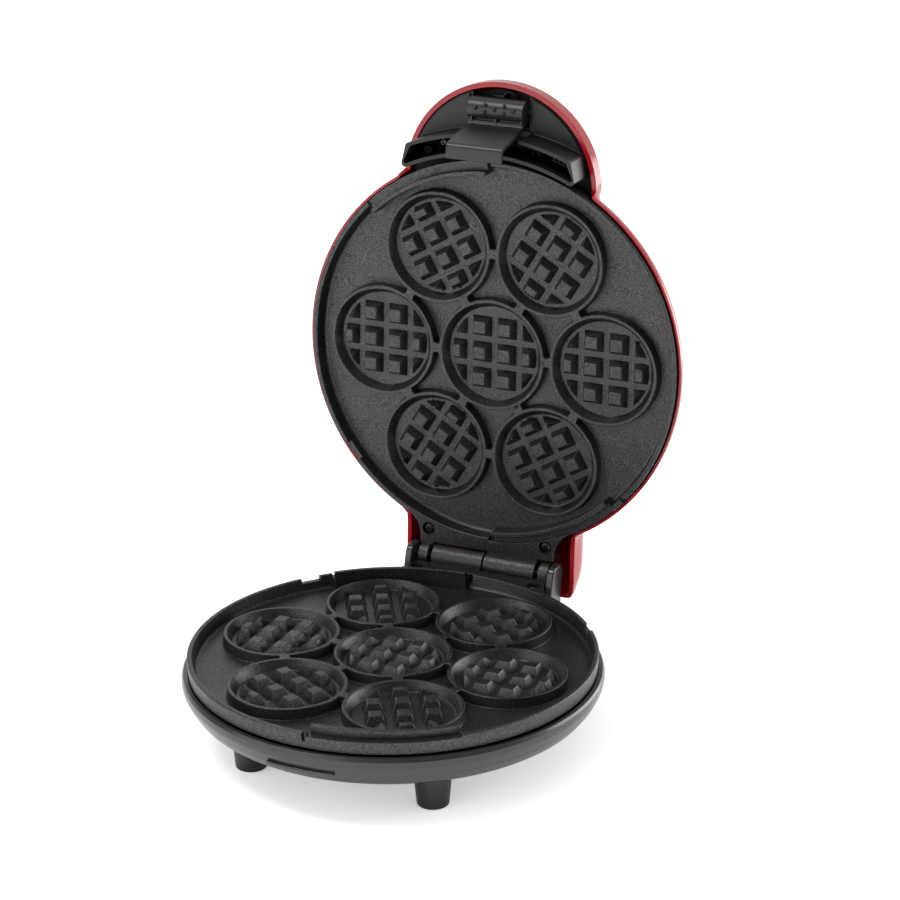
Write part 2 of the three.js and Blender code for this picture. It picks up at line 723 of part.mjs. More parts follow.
const machine = new THREE.Group();
const lid = new THREE.Group();
lid.position.set(0, HINGE_Y, HINGE_Z);
lid.rotation.x = -LID_OPEN * RAD;
machine.add(lid);

function addTo(group, name, solid, material) {
  const mesh = new THREE.Mesh(toGeometry(solid), material);
  mesh.name = name;
  group.add(mesh);
  return mesh;
}

const onBase = (name, solid, material) => addTo(machine, name, solid, material);

function onLid(name, solid, material) {
  return addTo(lid, name, solid.translate([0, -HINGE_Y, -HINGE_Z]), material);
}

const turnedOver = (solid) => solid.rotate([0, 180, 0]);

const heater = heaterLoop();
const shield = heatShield();
const [screwX, screwY] = HINGE_SCREW;

onBase('base_shell', baseShell(), baseSatin);
onBase('base_plate', castPlate(HINGE_Z), nonstick);
onBase('base_heater', heater, steel);
onBase('base_heat_shield', shield, aluminium);
onBase('thermostat', thermostat(), steel);
onBase('thermal_fuse', thermalFuse(), ceramic);
onBase('cord_gland', cordGland(), rubber);
onBase('hinge_pin', crosswise(PIN_R, -38.7, 38.7, HINGE_Y, HINGE_Z), steel);
onBase('base_hinge_screw_left', screw(-screwX, screwY, -0.5, -17), blackSteel);
onBase('base_hinge_screw_right', screw(screwX, screwY, -0.5, -17), blackSteel);
['front_left', 'front_right', 'rear_left', 'rear_right'].forEach((place, i) => {
  const [x, y] = footPlaces()[i];
  onBase(`foot_${place}`, foot(x, y), rubber);
});

onLid('lid_shell', lidShell(), redGloss);
onLid('lid_plate', turnedOver(castPlate(-HINGE_Z)), nonstick);
onLid('lid_heater', turnedOver(heater), steel);
onLid('lid_heat_shield', turnedOver(shield), aluminium);
onLid('lid_hinge_screw_left', turnedOver(screw(screwX, screwY, -0.5, -17)), blackSteel);
onLid('lid_hinge_screw_right', turnedOver(screw(-screwX, screwY, -0.5, -17)), blackSteel);
onLid('handle_insert', handleInsert(), blackPlastic);
insertScrewPlaces().forEach(([x, y], i) => {
  onLid(`insert_screw_${['left', 'right'][i]}`, turnedOver(screw(-x, y, -7, -19)), blackSteel);
});
onLid('indicator_lens', indicatorLens(), amber);
onLid('indicator_lamp', indicatorLamp(), ceramic);
onLid('latch', latch(), blackPlastic);
onLid('latch_pin', crosswise(LATCH_PIN_R, -18.4, 18.4, LATCH_PIVOT[0], LATCH_PIVOT[1], 12), steel);

// Stand the feet on z = 0 and centre the whole machine front to back
machine.position.z = PARTING_HEIGHT;
machine.updateMatrixWorld(true);
const bounds = new THREE.Box3().setFromObject(machine);
machine.position.y = -(bounds.min.y + bounds.max.y) / 2;
machine.updateMatrixWorld(true);

const model = new THREE.Group();
model.add(machine);
model.updateMatrixWorld(true);

export default model;
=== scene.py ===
# %% [markdown]
# A waffle bite maker stands open: a charcoal base, a red lid, and one dark casting in each
# with seven round cups. The CAD model is loaded first and stays as it is. Every piece below is
# modelled on the plate's own centre, in millimetres, and then moved to its place in that frame.

import math

import bpy
from mathutils import Matrix, Vector


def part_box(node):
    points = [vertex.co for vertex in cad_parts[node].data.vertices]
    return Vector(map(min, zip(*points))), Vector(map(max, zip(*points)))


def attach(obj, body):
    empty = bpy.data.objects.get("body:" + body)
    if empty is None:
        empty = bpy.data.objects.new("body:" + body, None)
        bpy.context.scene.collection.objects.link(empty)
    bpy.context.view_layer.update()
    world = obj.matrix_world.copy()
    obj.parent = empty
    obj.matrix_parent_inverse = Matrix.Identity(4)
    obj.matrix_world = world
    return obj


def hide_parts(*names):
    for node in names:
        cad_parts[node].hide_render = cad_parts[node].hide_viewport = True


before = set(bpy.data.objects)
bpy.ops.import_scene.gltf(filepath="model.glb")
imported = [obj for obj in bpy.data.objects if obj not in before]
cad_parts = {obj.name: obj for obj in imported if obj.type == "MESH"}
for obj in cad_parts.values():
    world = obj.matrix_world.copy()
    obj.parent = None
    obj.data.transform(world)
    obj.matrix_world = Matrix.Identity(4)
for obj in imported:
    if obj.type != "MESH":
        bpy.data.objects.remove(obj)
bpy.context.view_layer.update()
MM = 0.001

# %% [markdown]
# The plate's centre, where the closed plates meet, is the zero of all drawings here. The hinge rod
# tells where that point lies in the frame. The lid's pieces are drawn closed, as they are easiest
# to measure, and then turned open about the rod.

# %% Where the plates and the hinge are
PLATE_R = 104
HINGE_Y = 116.5
HINGE_Z = 0.75
LID_OPEN = 93

pin_low, pin_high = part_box("hinge_pin")
pin_middle = (pin_low + pin_high) / 2
PLATE_CENTRE = Vector((0, pin_middle.y - HINGE_Y * MM, pin_middle.z - HINGE_Z * MM))
print("plate centre in mm:", [round(v / MM, 2) for v in PLATE_CENTRE])

# %% [markdown]
# The photograph was taken from the right and a little above, with a long lens. The camera is
# made first, so that every test render can be laid beside the photograph.

# %% Camera
CAMERA_PLACE = (621.8, -1280.8, 654.4)
CAMERA_TURN = 24.7
CAMERA_HEIGHT = 21.03
CAMERA_ROLL = -0.51
CAMERA_LENS = 123.78

turn, height, roll = (math.radians(v) for v in (CAMERA_TURN, CAMERA_HEIGHT, CAMERA_ROLL))
back = Vector((math.sin(turn) * math.cos(height), -math.cos(turn) * math.cos(height), math.sin(height)))
right = Vector((math.cos(turn), math.sin(turn), 0))
up = back.cross(right)
tilted_right = right * math.cos(roll) + up * math.sin(roll)
tilted_up = up * math.cos(roll) - right * math.sin(roll)

bpy.ops.object.camera_add(location=PLATE_CENTRE + Vector(CAMERA_PLACE) * MM)
camera = bpy.context.object
camera.rotation_euler = Matrix((tilted_right, tilted_up, back)).transposed().to_euler()
camera.data.lens = CAMERA_LENS
camera.data.sensor_width = 36
camera.data.clip_end = 20
bpy.context.scene.camera = camera
print("camera at", [round(v, 3) for v in camera.location])

# %% [markdown]
# Colours are written as they look on a screen, in sRGB hex. One function turns them to the linear
# values that shaders work in, and one adds a node with its settings and its links.

# %% Colour and node helpers


def linear(hex_colour):
    """Turn a colour such as "#a01820" into linear red, green, blue and alpha."""
    parts = [int(hex_colour[i : i + 2], 16) / 255 for i in (1, 3, 5)]
    return [v / 12.92 if v <= 0.04045 else ((v + 0.055) / 1.055) ** 2.4 for v in parts] + [1]


def feed(tree, node, inputs):
    """Give inputs of a node a value each, or another node's output to link from."""
    for key, value in inputs.items():
        if isinstance(value, bpy.types.NodeSocket):
            tree.links.new(value, node.inputs[key])
        else:
            node.inputs[key].default_value = value


def add_node(tree, kind, settings=None, inputs=None):
    """Add a node with its settings, its values and its links."""
    node = tree.nodes.new("ShaderNode" + kind)
    for name, value in (settings or {}).items():
        setattr(node, name, value)
    feed(tree, node, inputs or {})
    return node


def new_material(name, shader_inputs):
    """Start a material, and return it with its tree, its shader and the object's coordinates."""
    material = bpy.data.materials.new(name)
    material.use_nodes = True
    tree = material.node_tree
    shader = tree.nodes["Principled BSDF"]
    feed(tree, shader, shader_inputs)
    return material, tree, shader, add_node(tree, "TexCoord").outputs["Object"]


# %% [markdown]
# The hot plates are cast aluminium under a sprayed and baked non-stick coat that is filled with
# fine dark flakes. The flakes reflect the pale table on flat floors, which look grey and speckled,
# while the steep walls of the cups reflect each other and stay nearly black. So the shader is
# mostly metallic, and its speckle is in the base colour. The real grain of 0.2 mm is drawn at
# 0.7 mm, because a finer one doesn't show at this distance. A slow cloud of 25 mm varies the gloss
# a little, as spraying does.

# %% Non-stick coating
COAT_GRAIN = 0.7
COAT_CLOUD = 25
COAT_RELIEF = 0.1
SPREAD = {"From Min": 0.35, "From Max": 0.65}

nonstick, tree, shader, place = new_material(
    "nonstick_on_cast_aluminium", {"IOR": 1.55, "Metallic": 0.8}
)
speckle = add_node(
    tree,
    "TexNoise",
    None,
    {"Vector": place, "Scale": 1 / (COAT_GRAIN * MM), "Detail": 3.0, "Roughness": 0.65},
).outputs["Fac"]
cloud = add_node(
    tree, "TexNoise", None, {"Vector": place, "Scale": 1 / (COAT_CLOUD * MM), "Detail": 2.0}
).outputs["Fac"]
dust = add_node(tree, "MapRange", None, {"Value": speckle, **SPREAD}).outputs["Result"]
colour = add_node(
    tree, "Mix", {"data_type": "RGBA"}, {0: dust, 6: linear("#29292a"), 7: linear("#5b5b5d")}
).outputs[2]
gloss = add_node(
    tree, "MapRange", None, {"Value": cloud, **SPREAD, "To Min": 0.38, "To Max": 0.44}
).outputs["Result"]
relief = add_node(
    tree, "Bump", None, {"Height": speckle, "Distance": COAT_RELIEF * MM, "Strength": 1.0}
).outputs["Normal"]
feed(tree, shader, {"Base Color": colour, "Roughness": gloss, "Normal": relief})

# %% [markdown]
# The other finishes are each made the same way: a noise of a real size shifts the colour between
# two close shades and the roughness between two values, and the same noise may raise the surface.
# The charcoal base is ABS from a polished mould, with long soft waves in its skin that make
# reflections wander. The handle and the latch are ABS from a spark-eroded mould, whose leathery
# grain of a few tenths of a millimetre softens highlights. Inside the collar and the pocket the
# same ABS is rougher, and darker as painted shade for these recesses. The lid is ABS with red
# pigment right through and a polish like a thin clear coat. The small parts are blackened screws,
# steel, rubber, amber plastic, ceramic and rolled sheet.

# %% Plastics, metals and small finishes
# name, dark and light shade, grain in mm, roughness from and to, relief in mm, shader values
FINISHES = [
    ("charcoal_moulded_abs", "#313133", "#38383b", 45, 0.22, 0.28, 0.1, {"IOR": 1.53}),
    ("black_textured_abs", "#0d0d0e", "#131314", 0.7, 0.40, 0.47, 0.02, {"IOR": 1.5}),
    # darker than the handle's skin: painted shade for the inside of the collar and the pocket
    ("rough_abs_painted_shade", "#080808", "#0d0d0d", 1.5, 0.66, 0.74, 0, {"IOR": 1.45}),
    ("latch_satin_abs", "#1c1c1d", "#242426", 0.7, 0.34, 0.40, 0.02, {"IOR": 1.53}),
    (
        "red_polished_abs", "#ac1520", "#b71824", 60, 0.16, 0.22, 0,
        {"IOR": 1.5, "Coat Weight": 0.1, "Coat Roughness": 0.05},
    ),
    ("blackened_steel", "#444446", "#58585a", 0.6, 0.30, 0.42, 0, {"Metallic": 1.0}),
    ("ground_steel", "#a9abac", "#c4c6c7", 1.2, 0.22, 0.34, 0, {"Metallic": 1.0}),
    ("moulded_rubber", "#191919", "#222223", 0.9, 0.42, 0.55, 0.03, {"IOR": 1.52}),
    ("foot_black_abs", "#212122", "#29292a", 0.8, 0.22, 0.30, 0, {"IOR": 1.53}),
    (
        "amber_clear_lens", "#d9531e", "#e8722c", 3, 0.08, 0.14, 0,
        {"IOR": 1.49, "Transmission Weight": 0.6},
    ),
    ("white_ceramic", "#d8d4ca", "#e8e4da", 1.5, 0.40, 0.55, 0.02, {"IOR": 1.55}),
    ("rolled_aluminium", "#b9bbbd", "#cfd1d3", 2, 0.30, 0.42, 0, {"Metallic": 1.0}),
]
finish = {}
for name, dark, light, grain, smooth, rough, raised, values in FINISHES:
    material, tree, shader, place = new_material(name, values)
    noise = add_node(
        tree,
        "TexNoise",
        None,
        {"Vector": place, "Scale": 1 / (grain * MM), "Detail": 2.0, "Roughness": 0.6},
    ).outputs["Fac"]
    shade = add_node(tree, "MapRange", None, {"Value": noise, **SPREAD}).outputs["Result"]
    colour = add_node(
        tree, "Mix", {"data_type": "RGBA"}, {0: shade, 6: linear(dark), 7: linear(light)}
    ).outputs[2]
    gloss = add_node(
        tree, "MapRange", None, {"Value": noise, **SPREAD, "To Min": smooth, "To Max": rough}
    ).outputs["Result"]
    feed(tree, shader, {"Base Color": colour, "Roughness": gloss})
    if raised:
        relief = add_node(
            tree, "Bump", None, {"Height": noise, "Distance": raised * MM, "Strength": 1.0}
        ).outputs["Normal"]
        feed(tree, shader, {"Normal": relief})
    finish[name] = material
print("materials:", [material.name for material in bpy.data.materials])

# %% [markdown]
# Most of these pieces start as a line drawn by extruding one vertex. A line is either spun about
# an axis, as on a lathe, or closed to a face and pulled straight. Its corners get their mould
# radius before that, because an edge without one never catches the light.

# %% Drawing helpers


def deselect():
    bpy.ops.object.select_all(action="DESELECT")


def select_only(*objects):
    deselect()
    for item in objects:
        item.select_set(True)
    bpy.context.view_layer.objects.active = objects[0]


def new_piece(name):
    """Name the object just made and its mesh, and return it."""
    piece = bpy.context.object
    piece.name = piece.data.name = name
    return piece


def apply_place(piece):
    """Write a piece's place, turn and scale into its mesh."""
    select_only(piece)
    bpy.ops.object.transform_apply(location=True, rotation=True, scale=True)
    return piece


def rounded(corners, closed=False, parts=4):
    """A path in the plane. Each corner is (a, b, radius) and becomes a short arc."""
    path = []
    last = len(corners) - 1
    for i, (a, b, radius) in enumerate(corners):
        here = Vector((a, b))
        if radius == 0 or (not closed and i in (0, last)):
            path.append(here)
            continue
        before = (Vector(corners[i - 1][:2]) - here).normalized()
        after = (Vector(corners[(i + 1) % len(corners)][:2]) - here).normalized()
        half = before.angle(after) / 2
        centre = here + (before + after).normalized() * (radius / math.sin(half))
        start = here + before * (radius / math.tan(half)) - centre
        end = here + after * (radius / math.tan(half)) - centre
        sweep = start.angle_signed(end)
        for k in range(parts + 1):
            turned = start.copy()
            turned.rotate(Matrix.Rotation(-sweep * k / parts, 2))
            path.append(centre + turned)
    return path


def arc(centre, radius, start, end, parts):
    """Points of an arc between two angles in degrees."""
    angles = [math.radians(start + (end - start) * k / parts) for k in range(parts + 1)]
    x, y = centre
    return [Vector((x + radius * math.cos(a), y + radius * math.sin(a))) for a in angles]


def around_plate(radius, angle):
    """A point at a radius from the plate's centre and an angle from the front, to the right."""
    turned = math.radians(angle)
    return radius * math.sin(turned), -radius * math.cos(turned)


def draw_line(name, points):
    """Draw a line through 3D points in millimetres, and stay in edit mode."""
    deselect()
    bpy.ops.mesh.primitive_plane_add(size=MM, location=(0, 0, 0))
    piece = new_piece(name)
    bpy.ops.object.mode_set(mode="EDIT")
    bpy.ops.mesh.select_all(action="SELECT")
    bpy.ops.mesh.merge(type="CENTER")
    bpy.ops.transform.translate(value=Vector(points[0]) * MM)
    for a, b in zip(points, points[1:]):
        step = (Vector(b) - Vector(a)) * MM
        bpy.ops.mesh.extrude_region_move(TRANSFORM_OT_translate={"value": step})
    bpy.ops.mesh.select_all(action="SELECT")
    return piece


def close_up(piece):
    """Merge doubles, turn faces outwards and leave edit mode."""
    bpy.ops.mesh.select_all(action="SELECT")
    bpy.ops.mesh.remove_doubles(threshold=0.002 * MM)
    bpy.ops.mesh.normals_make_consistent(inside=False)
    bpy.ops.object.mode_set(mode="OBJECT")
    return piece


def move(piece, place=(0, 0, 0), spin=0, about="Z"):
    """Turn a piece about an axis through the zero, then shift it, and apply both."""
    turned = Matrix.Rotation(math.radians(spin), 4, about)
    piece.matrix_world = Matrix.Translation(Vector(place) * MM) @ turned
    return apply_place(piece)


def lathe(name, profile, steps=96, place=(0, 0, 0)):
    """Spin a profile of (radius, height) points about the vertical axis."""
    piece = draw_line(name, [(r, 0, z) for r, z in profile])
    bpy.ops.mesh.spin(steps=steps, angle=2 * math.pi, center=(0, 0, 0), axis=(0, 0, 1))
    return move(close_up(piece), place)


def pull_up(name, outline, low, high):
    """Close an outline in the XY plane to a face at low and pull it up to high."""
    piece = draw_line(name, [(x, y, low) for x, y in outline])
    bpy.ops.mesh.edge_face_add()
    lift = Vector((0, 0, (high - low) * MM))
    bpy.ops.mesh.extrude_region_move(TRANSFORM_OT_translate={"value": lift})
    return close_up(piece)


def pull_across(name, outline, left, right):
    """Close an outline of (y, z) points to a face at x = left and pull it to x = right."""
    piece = draw_line(name, [(left, y, z) for y, z in outline])
    bpy.ops.mesh.edge_face_add()
    reach = Vector(((right - left) * MM, 0, 0))
    bpy.ops.mesh.extrude_region_move(TRANSFORM_OT_translate={"value": reach})
    return close_up(piece)


def block(name, x, y, z):
    """A box between pairs of limits, for cutting and as a start."""
    deselect()
    sizes = [(pair[1] - pair[0]) * MM for pair in (x, y, z)]
    middle = [(pair[1] + pair[0]) / 2 * MM for pair in (x, y, z)]
    bpy.ops.mesh.primitive_cube_add(size=1, location=middle, scale=sizes)
    return apply_place(new_piece(name))


def rod(name, radius, start, end, sides=48):
    """A round bar between two points, at right angles to at least one axis."""
    deselect()
    a, b = Vector(start), Vector(end)
    length = (b - a).length * MM
    bpy.ops.mesh.primitive_cylinder_add(vertices=sides, radius=radius * MM, depth=length)
    piece = new_piece(name)
    turned = (b - a).to_track_quat("Z", "Y").to_matrix().to_4x4()
    piece.matrix_world = Matrix.Translation((a + b) / 2 * MM) @ turned
    return apply_place(piece)


def use_modifier(piece, kind, **settings):
    """Add a modifier with its settings and apply it at once."""
    select_only(piece)
    bpy.ops.object.modifier_add(type=kind)
    modifier = piece.modifiers[-1]
    for key, value in settings.items():
        setattr(modifier, key, value)
    bpy.ops.object.modifier_apply(modifier=modifier.name)
    return piece


def soften(piece, radius, parts=3, angle=30):
    """Round every edge sharper than angle degrees."""
    return use_modifier(
        piece,
        "BEVEL",
        width=radius * MM,
        segments=parts,
        limit_method="ANGLE",
        angle_limit=math.radians(angle),
        use_clamp_overlap=True,
    )


def combine(piece, tools, operation):
    """Add or cut away tools one after another, and remove them."""
    for tool in tools:
        use_modifier(piece, "BOOLEAN", operation=operation, object=tool, solver="MANIFOLD")
        bpy.data.objects.remove(tool)


def weld(piece, *tools):
    combine(piece, tools, "UNION")


def cut(piece, *tools):
    combine(piece, tools, "DIFFERENCE")


def copy_of(piece, name):
    """A copy with its own mesh."""
    twin = piece.copy()
    twin.data = piece.data.copy()
    twin.name = twin.data.name = name
    bpy.context.collection.objects.link(twin)
    return twin


def finish_surface(piece, angle=32):
    """Smooth shading up to an angle, with the large faces kept flat."""
    select_only(piece)
    bpy.ops.object.shade_smooth_by_angle(angle=math.radians(angle))
    use_modifier(piece, "WEIGHTED_NORMAL", mode="FACE_AREA", weight=60, keep_sharp=True)
    return piece


def settle(piece, body, material, slot, *nodes):
    hinge = Matrix.Translation(Vector((0, HINGE_Y, HINGE_Z)) * MM)
    opened = Matrix.Rotation(math.radians(0 if body == "base" else -LID_OPEN), 4, "X")
    piece.matrix_world = Matrix.Translation(PLATE_CENTRE) @ hinge @ opened @ hinge.inverted()
    apply_place(piece)
    if not any(piece.data.materials):
        piece.data.materials.clear()
        piece.data.materials.append(material)
    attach(piece, body)
    if nodes:
        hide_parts(*nodes)
    size = [round(v / MM, 1) for v in piece.dimensions]
    print(piece.name, "faces", len(piece.data.polygons), "size mm", size)


# %% [markdown]
# One cup of the hot plate: a round dish with a raised ring, and inside it the pegs that press the
# waffle's pockets. A peg is a square frustum. The pegs at the cup's edge are cut by its round
# wall, so only six full ones, a cut one at each side and four small corners remain. Each peg is
# trimmed first and gets its bevel afterwards, so that the cut edges are rounded too. The cup is
# modelled once and copied seven times.

# %% One waffle cup
PAN_FLOOR = -7.2
RING_TOP = -1.5
RING_R = 29.95
CUP_FLOOR = -6.6
CUP_R = 25.6
PEG_TOP = -1.6
PEG_PITCH = 14.1
PEG_BASE = 11.3
PEG_FACE = 6.3
PEG_SUNK = 0.4
PEG_HEIGHT = PEG_TOP - CUP_FLOOR + PEG_SUNK

dish_profile = rounded(
    [
        (0, PAN_FLOOR - 1, 0),
        (32.6, PAN_FLOOR - 1, 0),
        (32.6, PAN_FLOOR - 0.1, 0),
        (30.4, PAN_FLOOR - 0.1, 0.6),
        (RING_R, RING_TOP, 0.45),
        (28.3, RING_TOP, 0.45),
        (CUP_R, CUP_FLOOR, 0.9),
        (0, CUP_FLOOR, 0),
    ]
)
cup = lathe("cup", dish_profile, steps=72)
trim = lathe(
    "trim",
    [(0, -8), (24.1, -8), (23.9, CUP_FLOOR), (21.7, PEG_TOP), (20.6, 1), (0, 1)],
    steps=72,
)


def peg(x, y):
    """One square frustum standing in the cup, cut by its wall and then bevelled."""
    deselect()
    diagonal = math.sqrt(0.5) * MM
    bpy.ops.mesh.primitive_cone_add(
        vertices=4,
        radius1=PEG_BASE * diagonal,
        radius2=PEG_FACE * diagonal,
        depth=PEG_HEIGHT * MM,
        location=(x * MM, y * MM, (PEG_TOP - PEG_HEIGHT / 2) * MM),
        rotation=(0, 0, math.pi / 4),
    )
    piece = apply_place(new_piece("peg"))
    if abs(x) > PEG_PITCH:
        combine(piece, [copy_of(trim, "peg_trim")], "INTERSECT")
    return soften(piece, 0.45)


pegs = [
    peg(column * PEG_PITCH, row * PEG_PITCH)
    for column in (-1.5, -0.5, 0.5, 1.5)
    for row in (-1, 0, 1)
]
select_only(*pegs)
bpy.ops.object.join()
weld(cup, bpy.context.object)
bpy.data.objects.remove(trim)
print("cup faces", len(cup.data.polygons))

# %% [markdown]
# The casting itself is a shallow pan turned on a lathe. Six cups stand round a seventh, each with
# its pegs lined up on the plate's centre, and short bars tie the rings together. Two arc-shaped
# tongues, half a turn apart, stand up past the rim and centre the lid: the rim beside each is cut
# down to a lower land. Two notches let steam out.

# %% Parts of the casting
CUP_PITCH_R = 63.2
RIM_TOP = -0.15
TONGUE_TOP = 2.6
LAND_TOP = -1.7
SKIRT_BOTTOM = -8.2
OUTSIDE_R = 106
SCREW_X, SCREW_Y = 34, 101.5
BARREL_R = 6.5
ARM_Y = 104.6
LONG_KNUCKLE = (-29.8, -0.6)
SHORT_KNUCKLE = (32.4, 37.6)

cup_places = [(0, 0, 0)]
for k in range(6):
    angle = math.radians(60 * k)
    cup_places.append((CUP_PITCH_R * math.cos(angle), CUP_PITCH_R * math.sin(angle), 60 * k))


def sector(name, inner, outer, start, end, low, high, parts=24):
    """A slab between two radii and two angles."""
    outline = arc((0, 0), outer, start, end, parts) + arc((0, 0), inner, end, start, parts)
    return pull_up(name, outline, low, high)


def bridge(ax, ay, bx, by):
    """A short bar between two rings, wider where it meets them."""
    flare = 1.35
    bar = block("bridge", (-3.1, 3.1), (-2.4, 2.4), (PAN_FLOOR - 0.6, RING_TOP))
    bpy.ops.object.mode_set(mode="EDIT")
    bpy.ops.mesh.select_all(action="SELECT")
    bpy.ops.mesh.bisect(plane_co=(0, 0, 0), plane_no=(1, 0, 0))
    bpy.ops.object.mode_set(mode="OBJECT")
    for corner in bar.data.vertices:
        if abs(corner.co.x) > MM:
            corner.co.y *= flare
    soften(bar, 0.5)
    heading = math.degrees(math.atan2(by - ay, bx - ax))
    return move(bar, ((ax + bx) / 2, (ay + by) / 2, 0), heading)


def hinge_tab():
    """The flat tongue behind the rim that carries the hinge knuckles."""
    half, fillet, end_y, overlap = 38.9, 14, 109.2, 4
    centre_x = half + fillet
    centre_y = math.sqrt((PLATE_R + fillet) ** 2 - centre_x**2)
    share = PLATE_R / (PLATE_R + fillet)
    to_rim = math.degrees(math.atan2(centre_y * share - centre_y, centre_x * share - centre_x))
    outline = [Vector((centre_x * share, centre_y * share - overlap))]
    outline += arc((centre_x, centre_y), fillet, to_rim, -180, 10)
    outline += [Vector((half, end_y)), Vector((-half, end_y))]
    outline += arc((-centre_x, centre_y), fillet, 0, -180 - to_rim, 10)
    outline += [Vector((-centre_x * share, centre_y * share - overlap))]
    tab = pull_up("hinge_tab", outline, SKIRT_BOTTOM, RIM_TOP)
    cut(tab, rod("rim_circle", PLATE_R - 1, (0, 0, SKIRT_BOTTOM - 2), (0, 0, 2), 180))
    return soften(tab, 0.5)


def knuckle(left, right, axis_z):
    """A round barrel about the hinge axis with the arm that joins it to the tab."""
    barrel = rod("knuckle", BARREL_R, (left, HINGE_Y, axis_z), (right, HINGE_Y, axis_z), 64)
    arm = block("arm", (left, right), (ARM_Y, HINGE_Y), (axis_z - BARREL_R, RIM_TOP))
    weld(barrel, arm)
    return soften(barrel, 0.5, 3, 40)


# %% [markdown]
# The two plates of a real machine come out of one mould, and the upper one is the same casting
# turned over. The function below therefore makes the casting twice. The only difference is on
# which side of the parting plane the hinge axis lies.

# %% The casting


def cast_plate(name, axis_z):
    profile = rounded(
        [
            (0, -9.8, 0),
            (99.8, -9.8, 0.8),
            (101, SKIRT_BOTTOM, 0.4),
            (103.55, SKIRT_BOTTOM, 0.4),
            (104.15, RIM_TOP, 0.8),
            (101.5, RIM_TOP, 0.6),
            (100.2, PAN_FLOOR, 1.8),
            (0, PAN_FLOOR, 0),
        ]
    )
    plate = lathe(name, profile, steps=180)
    for i, (ax, ay, _) in enumerate(cup_places):
        for bx, by, _ in cup_places[i + 1 :]:
            if math.hypot(ax - bx, ay - by) < CUP_PITCH_R * 1.1:
                weld(plate, bridge(ax, ay, bx, by))
    for x, y, heading in cup_places:
        weld(plate, move(copy_of(cup, "cup_copy"), (x, y, 0), heading))
    for start in (-88, 92):
        end = start + 42
        cut(plate, sector("step", 99.3, OUTSIDE_R, start, end, LAND_TOP, 2))
        land = sector("land", 98.6, 102.2, start, end, PAN_FLOOR - 1, LAND_TOP)
        tongue = sector("tongue", 96.8, 99.4, start, end, PAN_FLOOR - 1, TONGUE_TOP)
        weld(plate, land, soften(tongue, 0.5))
        cut(plate, sector("keyway", 99.3, OUTSIDE_R, start - 1.4, start - 0.1, -4.6, 2, 3))
    for start in (36, 138):
        cut(plate, sector("vent", 98, OUTSIDE_R, start, start + 6, -2.5, 2, 4))
    root = block("lug_root", (30.8, 38.9), (ARM_Y, 111.4), (axis_z - 6.3, RIM_TOP))
    weld(plate, hinge_tab(), knuckle(*LONG_KNUCKLE, axis_z), knuckle(*SHORT_KNUCKLE, axis_z))
    weld(plate, soften(root, 0.5))
    cut(plate, rod("bore", 2.35, (-39, HINGE_Y, axis_z), (39, HINGE_Y, axis_z), 32))
    for x in (-SCREW_X, SCREW_X):
        cut(plate, rod("counterbore", 3.6, (x, SCREW_Y, -2.7), (x, SCREW_Y, 2), 40))
        cut(plate, rod("screw_hole", 1.8, (x, SCREW_Y, -10), (x, SCREW_Y, 2), 24))
    return finish_surface(plate)


lower_plate = cast_plate("hot_plate_lower", HINGE_Z)
settle(lower_plate, "base", nonstick, "nonstick", "base_plate")

upper_plate = move(cast_plate("hot_plate_upper", -HINGE_Z), (0, 0, 0), 180, "Y")
settle(upper_plate, "lid", nonstick, "nonstick", "lid_plate")
bpy.data.objects.remove(cup)

# %% [markdown]
# The base is a shallow bowl moulded in one shot with the box behind it that carries the hinge's
# cheeks. It is drawn as two solids, the outside and the room inside, and one is cut from the
# other. At the front a small flat ledge waits for the latch's hook.

# %% Base housing
BASE_TOP = -9.0
BASE_BOTTOM = -27.0
REAR_Y = 118.6
CHEEK_IN, CHEEK_OUT = 39.3, 43.3
BOX_WALL = 2.3
BELOW = -30
CORD_Z = -19.5

bowl = lathe(
    "base_housing",
    rounded(
        [
            (0, BASE_BOTTOM, 0),
            (97, BASE_BOTTOM, 3.5),
            (100.6, -24.6, 8),
            (104.2, -20, 12),
            (107.1, -14, 6),
            (107.05, -10.6, 2),
            (106.1, BASE_TOP, 0.5),
            (103, BASE_TOP, 0),
            (0, BASE_TOP, 0),
        ],
        parts=6,
    ),
    steps=180,
)
bowl_room = lathe(
    "bowl_room",
    rounded(
        [
            (0, -24.6, 0),
            (96.2, -24.6, 2.5),
            (101.6, -19.4, 6),
            (104.7, -13, 3),
            (103.95, -10.6, 1),
            (103.95, -6, 0),
            (0, -6, 0),
        ]
    ),
    steps=180,
)


def rear_box(name, inset, low, high):
    """The box behind the bowl, with rounded rear corners."""
    side, rear = CHEEK_OUT - inset, REAR_Y - inset
    outline = rounded(
        [(-side, 82, 0), (side, 82, 0), (side, rear, 3), (-side, rear, 3)], closed=True, parts=6
    )
    return pull_up(name, outline, low, high)


ledge = soften(sector("ledge", 98, 106.2, -99.9, -80.1, -20.0, -18.5), 0.4)
outer_box = soften(rear_box("rear_box", 0, BASE_BOTTOM, BASE_TOP), 0.8)
cheek_outline = rounded(
    [
        (98, -14, 0),
        (102, BASE_TOP, 1),
        (105.4, 2.6, 3),
        (107.6, 8.05, 4.4),
        (120.7, 8.05, 4.0),
        (117, BASE_TOP, 1),
        (117, -14, 0),
    ],
    closed=True,
    parts=6,
)
cheek_right = soften(pull_across("cheek", cheek_outline, CHEEK_IN, CHEEK_OUT), 0.9, 4)
cheek_left = soften(pull_across("cheek", cheek_outline, -CHEEK_OUT, -CHEEK_IN), 0.9, 4)
weld(bowl, outer_box, ledge)
cut(bowl, bowl_room, rear_box("box_room", BOX_WALL, BASE_BOTTOM + BOX_WALL, BASE_TOP - BOX_WALL))
weld(bowl, cheek_left, cheek_right)
